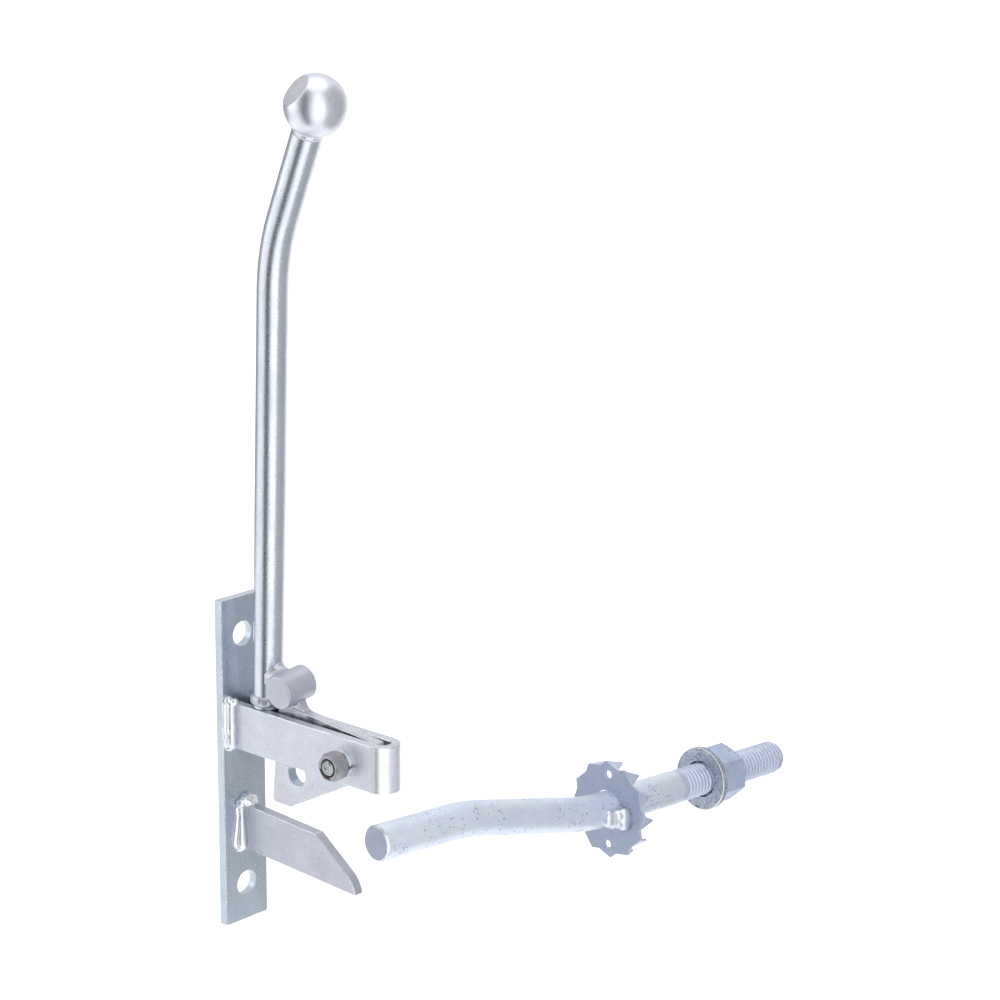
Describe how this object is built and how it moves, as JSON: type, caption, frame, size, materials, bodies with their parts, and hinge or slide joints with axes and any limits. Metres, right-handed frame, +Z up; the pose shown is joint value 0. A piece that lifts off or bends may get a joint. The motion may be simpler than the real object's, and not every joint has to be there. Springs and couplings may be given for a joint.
{
  "type": "gate catch",
  "caption": "Lever catch for a gate post: a tumbler with a long ball-ended lever drops behind a cranked striker bar that bolts through the gate.",
  "frame": {"origin": "midway between the two screw holes, on the rear face of the back plate", "axes": "+X out from the post along the arms, +Y across the back plate towards the gate, +Z up the lever"},
  "size_m": [0.1966, 0.2908, 0.4541],
  "materials": {
    "zinc_flat_bar": "hot-dip zinc, satin",
    "zinc_round_bar": "hot-dip zinc, bright satin",
    "zinc_weld": "weld bead under zinc, smooth",
    "plain_steel": "dull steel",
    "bright_steel": "bright plated steel",
    "zinc_striker": "pale zinc with fine pits",
    "zinc_sheet": "matt zinc",
    "zinc_hardware": "matt speckled zinc"
  },
  "bodies": {
    "catch": {"back_plate": "zinc_flat_bar", "pivot_strap": "zinc_flat_bar", "guide_arm": "zinc_flat_bar", "strap_weld_front": "zinc_weld", "strap_weld_rear": "zinc_weld", "guide_weld_front": "zinc_weld", "guide_weld_rear": "zinc_weld", "guide_weld_top": "zinc_weld", "pivot_bolt": "plain_steel", "pivot_spring_washer": "bright_steel", "pivot_nut": "plain_steel", "striker_bar": "zinc_striker", "toothed_plate": "zinc_sheet", "striker_weld": "zinc_weld", "striker_washer": "zinc_hardware", "striker_nut": "zinc_hardware"},
    "lever": {"tumbler": "zinc_flat_bar", "lever_rod": "zinc_round_bar", "lever_ball": "zinc_round_bar", "stop_bar": "zinc_round_bar", "saddle_weld": "zinc_weld", "root_weld": "zinc_weld", "foot_weld": "zinc_weld", "toe_weld": "zinc_weld"}
  },
  "joints": [
    {"name": "lever_pivot", "type": "hinge", "parent": "catch", "child": "lever", "pos_m": [0.0859, 0, 0.02025], "axis": [0, 1, 0], "range_deg": [0, 75]}
  ]
}
